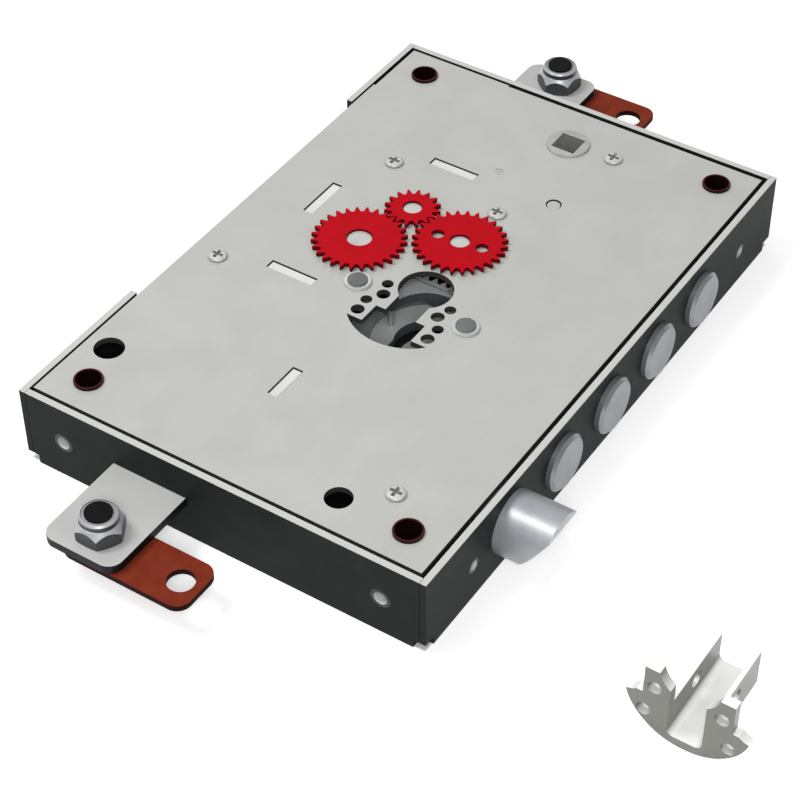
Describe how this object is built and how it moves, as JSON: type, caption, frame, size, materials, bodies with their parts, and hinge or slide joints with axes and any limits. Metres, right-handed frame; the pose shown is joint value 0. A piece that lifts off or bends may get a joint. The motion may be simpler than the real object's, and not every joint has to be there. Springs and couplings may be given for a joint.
{
  "type": "armoured door lock",
  "caption": "Armoured mortice door lock in a shallow tray case with round throwing bolts, a bevelled latch, meshed gears on the cover, rod connectors and a loose cylinder bracket.",
  "frame": {"origin": "centre of the case's outer base face, which is the middle of the four corner bushes", "axes": "+X towards the bolt wall, +Y towards the end with the handle follower, +Z out of the cover"},
  "size_m": [0.2287, 0.2682, 0.0288],
  "materials": {
    "graphite_steel": "matte graphite",
    "cover_steel": "satin warm grey",
    "screw_steel": "satin",
    "brown_bush": "satin dark brown",
    "bright_rib": "bright",
    "plain_steel": "dull",
    "bright_insert": "bright",
    "dark_plug": "satin",
    "shaft_steel": "satin",
    "red_gear": "satin red",
    "bolt_steel": "satin nickel",
    "black_steel": "satin black",
    "nut_steel": "dark zinc",
    "nylon": "matte",
    "brown_link": "satin brown red",
    "spring_steel": "bright"
  },
  "bodies": {
    "lock": {"case_tray": "graphite_steel", "cover_plate": "cover_steel", "cover_screws": "screw_steel", "screw_pillars": "screw_steel", "corner_bushes": "brown_bush", "upper_rod_rib": "bright_rib", "side_rib": "bright_rib", "lower_rod_rib": "bright_rib", "latch_rib": "bright_rib", "cylinder_guard_ring": "plain_steel", "rack_guide_plate": "plain_steel", "guide_posts": "screw_steel", "defender_bushes": "bright_insert", "defender_plugs": "dark_plug", "front_inserts": "bright_insert", "end_inserts": "bright_insert", "carriage_guide_pin": "screw_steel", "edge_guide_pin": "screw_steel", "draw_bar_pins": "screw_steel", "idler_pin": "shaft_steel", "latch_spring": "spring_steel", "cylinder_bracket": "bright_rib"},
    "bolt_set": {"bolt_carriage": "plain_steel", "drive_rack": "plain_steel", "rack_rivets": "screw_steel", "bolt_1": "bolt_steel", "bolt_2": "bolt_steel", "bolt_3": "bolt_steel", "bolt_4": "bolt_steel", "bolt_pins": "screw_steel"},
    "gear_2_set": {"gear_2": "red_gear", "gear_2_shaft": "shaft_steel", "gear_2_pinion": "plain_steel"},
    "idler_set": {"idler_gear": "red_gear"},
    "gear_1_set": {"gear_1": "red_gear", "gear_1_shaft": "shaft_steel", "gear_1_pinion": "plain_steel"},
    "upper_rod_set": {"upper_rod": "black_steel", "far_rod_screw": "black_steel", "far_rod_nut": "nut_steel", "far_nut_insert": "nylon"},
    "lower_rod_set": {"lower_rod": "black_steel", "near_rod_screw": "black_steel", "near_rod_nut": "nut_steel", "near_nut_insert": "nylon"},
    "far_link_set": {"far_link": "brown_link"},
    "near_link_set": {"near_link": "brown_link"},
    "latch_set": {"latch_bolt": "bolt_steel", "latch_tail": "screw_steel", "latch_tail_pin": "screw_steel"},
    "draw_bar_set": {"draw_bar": "plain_steel"},
    "follower_set": {"handle_follower": "screw_steel"}
  },
  "joints": [
    {"name": "bolt_throw", "type": "slide", "parent": "lock", "child": "bolt_set", "axis": [1, 0, 0], "range_m": [0, 0.03]},
    {"name": "gear_2_turn", "type": "hinge", "parent": "lock", "child": "gear_2_set", "pos_m": [0.0025, 0.0201, 0.012], "axis": [0, 0, 1], "range_deg": [0, 286.5]},
    {"name": "idler_turn", "type": "hinge", "parent": "lock", "child": "idler_set", "pos_m": [-0.01865, 0.02616, 0.012], "axis": [0, 0, 1], "range_deg": [-501.5, 0]},
    {"name": "gear_1_turn", "type": "hinge", "parent": "lock", "child": "gear_1_set", "pos_m": [-0.0243, 0.0049, 0.012], "axis": [0, 0, 1], "range_deg": [0, 286.5]},
    {"name": "upper_rod_slide", "type": "slide", "parent": "lock", "child": "upper_rod_set", "axis": [0, 1, 0], "range_m": [0, 0.02]},
    {"name": "lower_rod_slide", "type": "slide", "parent": "lock", "child": "lower_rod_set", "axis": [0, -1, 0], "range_m": [0, 0.02]},
    {"name": "latch_slide", "type": "slide", "parent": "lock", "child": "latch_set", "axis": [-1, 0, 0], "range_m": [0, 0.0155], "stiffness_N_per_m": 400, "springref_m": -0.01, "deforming": ["latch_spring"]},
    {"name": "draw_bar_slide", "type": "slide", "parent": "lock", "child": "draw_bar_set", "axis": [0, -1, 0], "range_m": [0, 0.0099]},
    {"name": "follower_turn", "type": "hinge", "parent": "lock", "child": "follower_set", "pos_m": [0.005, 0.082, 0.012], "axis": [0, 0, 1], "range_deg": [0, 45]},
    {"name": "far_link_turn", "type": "hinge", "parent": "upper_rod_set", "child": "far_link_set", "pos_m": [-0.0221, 0.1238, 0.012], "axis": [0, 0, 1], "range_deg": [-15, 90]},
    {"name": "near_link_turn", "type": "hinge", "parent": "lower_rod_set", "child": "near_link_set", "pos_m": [-0.0221, -0.1259, 0.012], "axis": [0, 0, 1], "range_deg": [-90, 15]}
  ],
  "couplings": [
    {"joint": "gear_2_turn", "follows": "bolt_throw", "rad_per_m": 166.66},
    {"joint": "idler_turn", "follows": "bolt_throw", "rad_per_m": -291.65},
    {"joint": "gear_1_turn", "follows": "bolt_throw", "rad_per_m": 166.66},
    {"joint": "upper_rod_slide", "follows": "bolt_throw", "ratio": 0.66664},
    {"joint": "lower_rod_slide", "follows": "bolt_throw", "ratio": 0.66664},
    {"joint": "draw_bar_slide", "follows": "latch_slide", "ratio": 0.6387},
    {"joint": "follower_turn", "follows": "latch_slide", "rad_per_m": 50.66}
  ]
}
